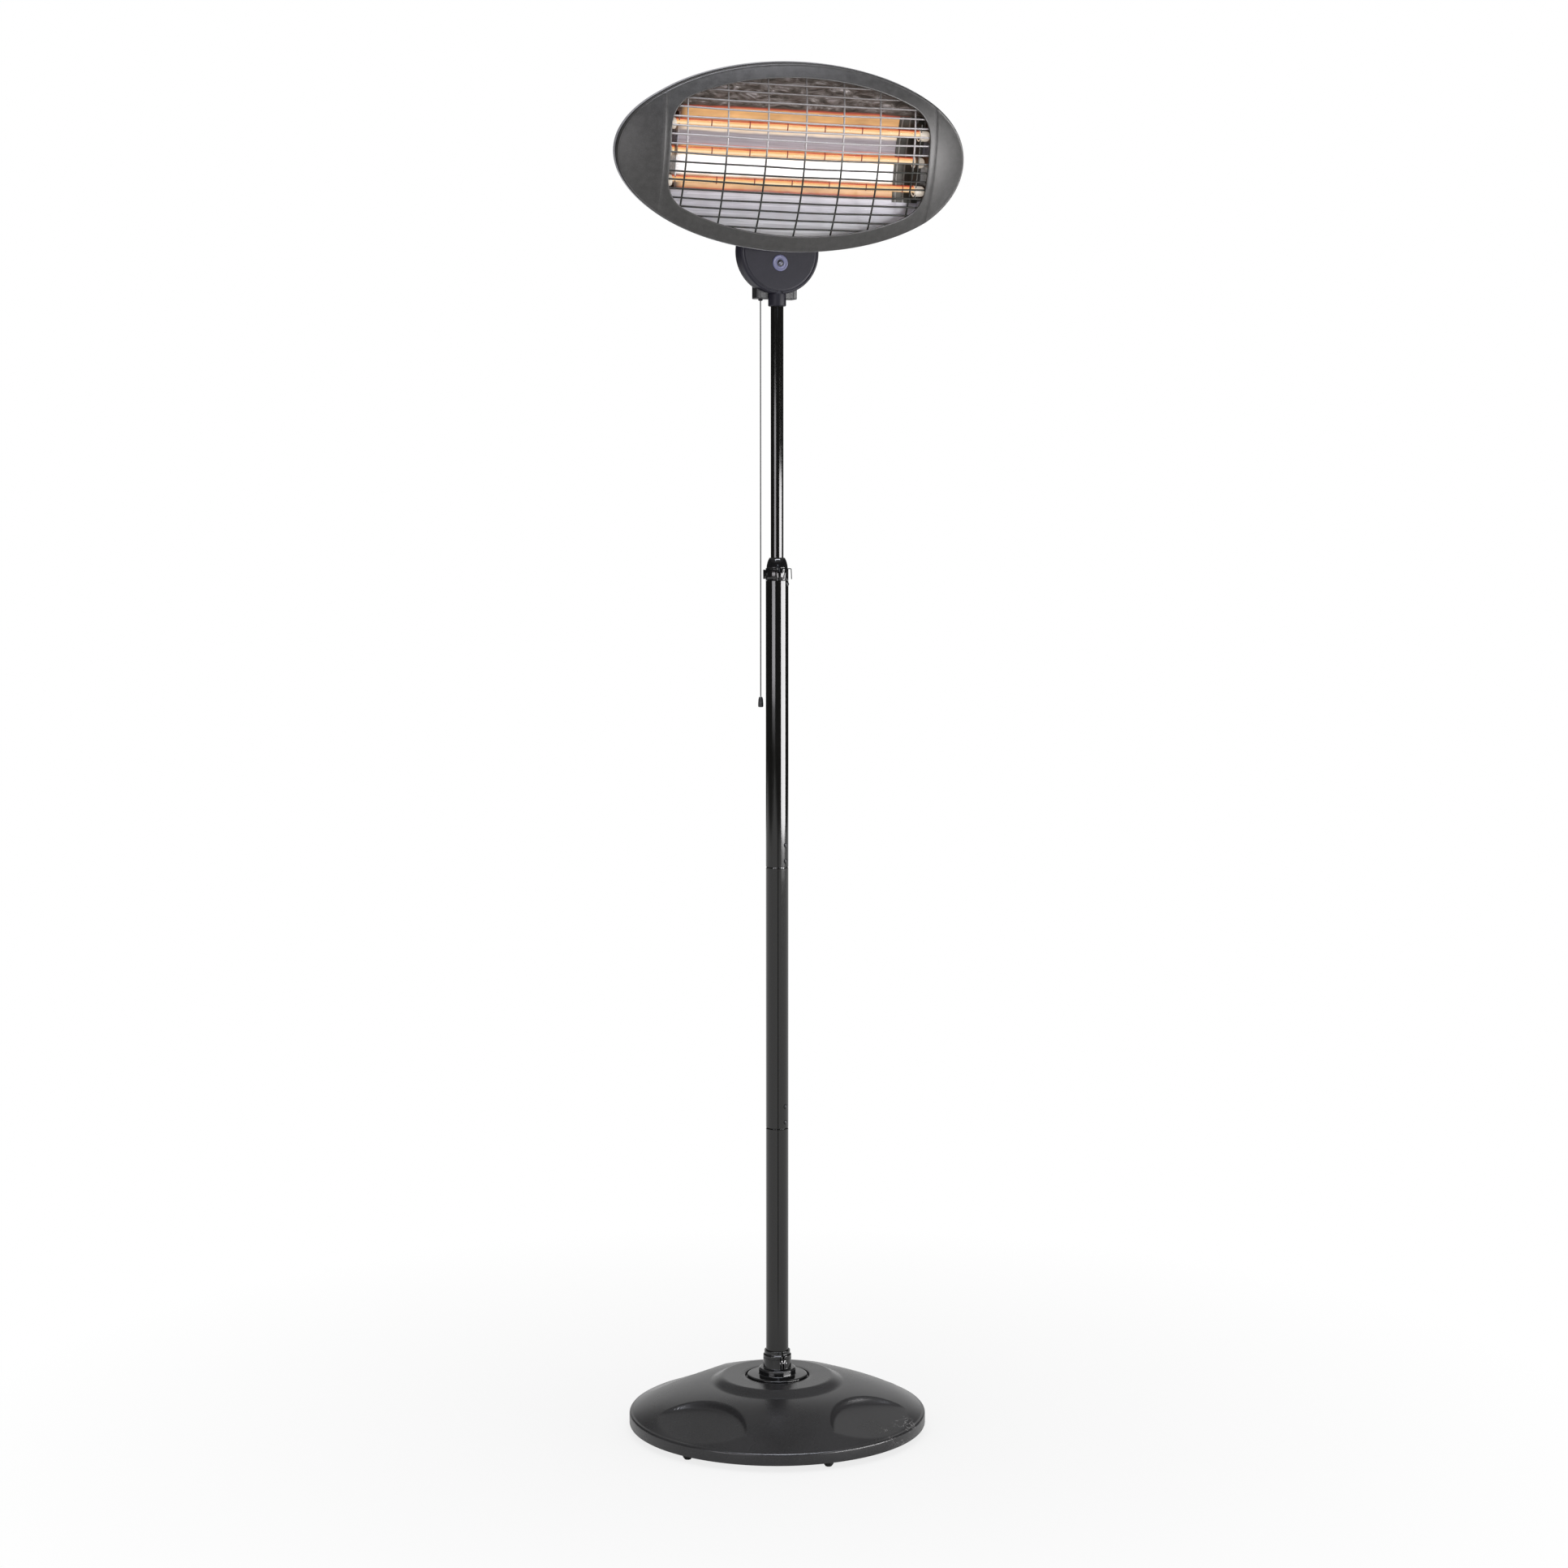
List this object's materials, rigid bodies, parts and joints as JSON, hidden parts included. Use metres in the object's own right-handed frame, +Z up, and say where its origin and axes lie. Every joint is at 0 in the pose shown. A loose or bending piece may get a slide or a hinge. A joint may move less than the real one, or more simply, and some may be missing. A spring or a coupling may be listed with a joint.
{
  "type": "patio heater",
  "caption": "Free-standing infrared patio heater: tilting oval lamp head behind a bowed wire grille, telescopic pole with lever collar, pull switch and weighted round base.",
  "frame": {"origin": "on the floor, on the pole's axis", "axes": "+Z up along the pole, -Y the way the lamp head faces, +X to the right of one who stands behind the head"},
  "size_m": [0.5418, 0.45, 2.0304],
  "materials": {
    "black_enamel": "satin black powder coat",
    "gloss_enamel": "gloss black enamel",
    "grey_enamel": "satin metallic grey",
    "shell_aluminium": "pressed, plain",
    "steel": "bright",
    "reflector_mirror": "polished with a dimpled upper area",
    "lamp_glass": "clear quartz with a glowing coil",
    "ceramic": "unglazed cream ceramic",
    "neck_plastic": "fine grained dark blue-grey",
    "badge_plastic": "lavender grey",
    "gloss_plastic": "gloss black",
    "black_plastic": "black",
    "bush_plastic": "black, slippery",
    "rubber": "black",
    "cord": "twisted dark cord",
    "ballast_iron": "rough"
  },
  "bodies": {
    "stand": {"base_cover": "black_enamel", "base_pan": "black_enamel", "base_ballast": "ballast_iron", "foot_1": "rubber", "foot_2": "rubber", "foot_3": "rubber", "foot_4": "rubber", "foot_5": "rubber", "foot_6": "rubber", "pole_socket": "gloss_plastic", "clamp_screw": "steel", "base_washer": "steel", "base_bolt": "steel", "tube_lower": "gloss_enamel", "tube_middle": "gloss_enamel", "tube_upper": "gloss_enamel", "sleeve_lower": "steel", "sleeve_upper": "steel", "joint_screw_1": "black_enamel", "joint_screw_2": "black_enamel", "joint_screw_3": "black_enamel", "joint_screw_4": "black_enamel", "stop_screw": "black_enamel", "collar_body": "gloss_plastic", "lever_pin": "steel"},
    "lever": {"collar_lever": "gloss_plastic"},
    "slider": {"guide_bush": "bush_plastic"},
    "mast": {"inner_tube": "gloss_enamel", "neck_front": "neck_plastic", "neck_rear": "neck_plastic", "badge_ring": "badge_plastic", "badge_screw": "steel", "socket_screw": "steel", "neck_gland": "rubber", "tilt_bolt": "steel", "tilt_knob": "black_plastic", "pull_guide": "neck_plastic"},
    "pull": {"pull_cord": "cord", "pull_knob": "black_plastic"},
    "head": {"face_frame": "grey_enamel", "wire_grille": "steel", "rear_shell": "shell_aluminium", "reflector": "reflector_mirror", "lamp_upper": "lamp_glass", "lamp_middle": "lamp_glass", "lamp_lower": "lamp_glass", "cap_upper_l": "ceramic", "cap_upper_r": "ceramic", "cap_middle_l": "ceramic", "cap_middle_r": "ceramic", "cap_lower_l": "ceramic", "cap_lower_r": "ceramic", "holder_right": "steel", "holder_left": "steel", "tilt_bracket": "black_enamel", "bracket_screw_1": "steel", "bracket_screw_2": "steel", "head_gland": "rubber"}
  },
  "joints": [
    {"name": "height_slide", "type": "slide", "parent": "stand", "child": "slider", "axis": [0, 0, 1], "range_m": [-0.3, 0]},
    {"name": "mast_swivel", "type": "hinge", "parent": "slider", "child": "mast", "pos_m": [0, 0, 1.24], "axis": [0, 0, 1], "range_deg": [-180, 180]},
    {"name": "head_tilt", "type": "hinge", "parent": "mast", "child": "head", "pos_m": [0, 0, 1.818], "axis": [1, 0, 0], "range_deg": [-14, 21]},
    {"name": "collar_lever", "type": "hinge", "parent": "stand", "child": "lever", "pos_m": [-0.00548, -0.01428, 1.2954], "axis": [0, 0, 1], "range_deg": [0, 100]},
    {"name": "pull_switch", "type": "slide", "parent": "mast", "child": "pull", "axis": [0, 0, 1], "range_m": [-0.012, 0], "stiffness_N_per_m": 600, "springref_m": 0.004}
  ]
}
